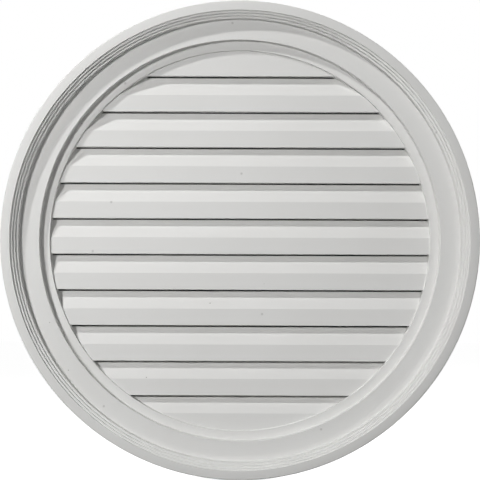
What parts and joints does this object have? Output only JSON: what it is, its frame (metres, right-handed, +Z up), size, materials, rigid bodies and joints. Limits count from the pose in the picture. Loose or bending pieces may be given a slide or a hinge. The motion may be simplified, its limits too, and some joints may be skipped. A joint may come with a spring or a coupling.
{
  "type": "gable vent",
  "caption": "Round louvred gable vent with a stepped moulded ring, a recessed field of slanted slats over narrow air slots and a flat back for fixing to a wall.",
  "frame": {"origin": "centre of the flat back face, on the ring's axis", "axes": "+Y out of the back, towards the wall; the front faces -Y; +Z up, across the slats"},
  "size_m": [0.5588, 0.0508, 0.5588],
  "materials": {
    "primed_urethane": "moulded urethane with a smooth matt white factory primer"
  },
  "bodies": {
    "root": {"gable_vent": "primed_urethane"}
  },
  "joints": []
}
